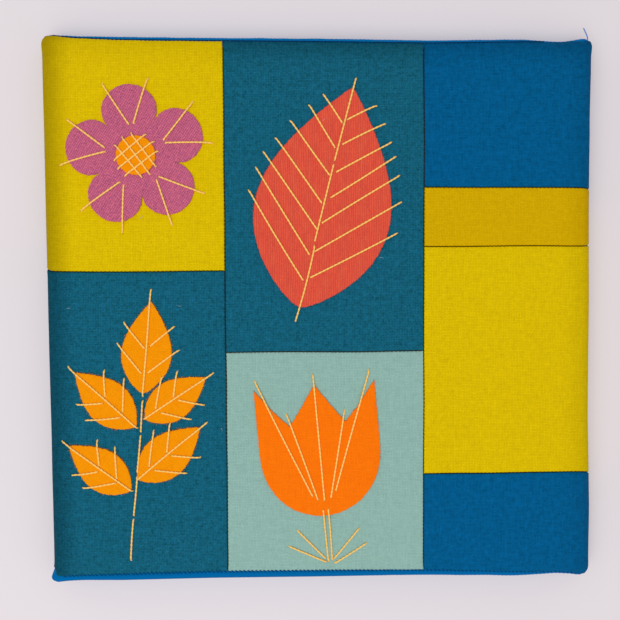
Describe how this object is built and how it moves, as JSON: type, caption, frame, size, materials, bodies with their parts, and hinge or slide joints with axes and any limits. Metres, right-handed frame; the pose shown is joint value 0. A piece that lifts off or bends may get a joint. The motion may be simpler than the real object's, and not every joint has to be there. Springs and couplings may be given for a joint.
{
  "type": "textile art panel",
  "caption": "Padded square wall panel of patched wool cloth with cut flower and leaf motifs and long straight stitches, in a blue backing.",
  "frame": {"origin": "middle of the flat back, where the panel rests", "axes": "+Z out of the face, +Y to the panel's top edge, +X to its right edge as seen from the front"},
  "size_m": [0.3022, 0.3004, 0.0245],
  "materials": {
    "backing_blue": "plain woven, matt",
    "teal_wool": "milled wool, matt",
    "blue_wool": "plain woven wool, matt",
    "yellow_wool": "plain woven wool, matt",
    "mustard_wool": "plain woven wool, matt",
    "sage_wool": "plain woven wool, matt",
    "coral_wool": "ribbed woven wool, matt",
    "plum_wool": "milled wool, matt",
    "orange_wool": "plain woven wool, matt",
    "amber_wool": "plain woven wool, matt"
  },
  "bodies": {
    "root": {"backing": "backing_blue", "patch_yellow_top_left": "yellow_wool", "patch_teal_low_left": "teal_wool", "patch_teal_top_middle": "teal_wool", "patch_sage_low_middle": "sage_wool", "patch_blue_top_right": "blue_wool", "patch_mustard_strip": "mustard_wool", "patch_yellow_right": "yellow_wool", "patch_blue_low_right": "blue_wool", "flower": "plum_wool", "flower_eye": "amber_wool", "broad_leaf": "coral_wool", "tulip": "orange_wool", "leaflet_tip": "amber_wool", "leaflet_upper_left": "amber_wool", "leaflet_upper_right": "amber_wool", "leaflet_lower_left": "amber_wool", "leaflet_lower_right": "amber_wool"}
  },
  "joints": []
}
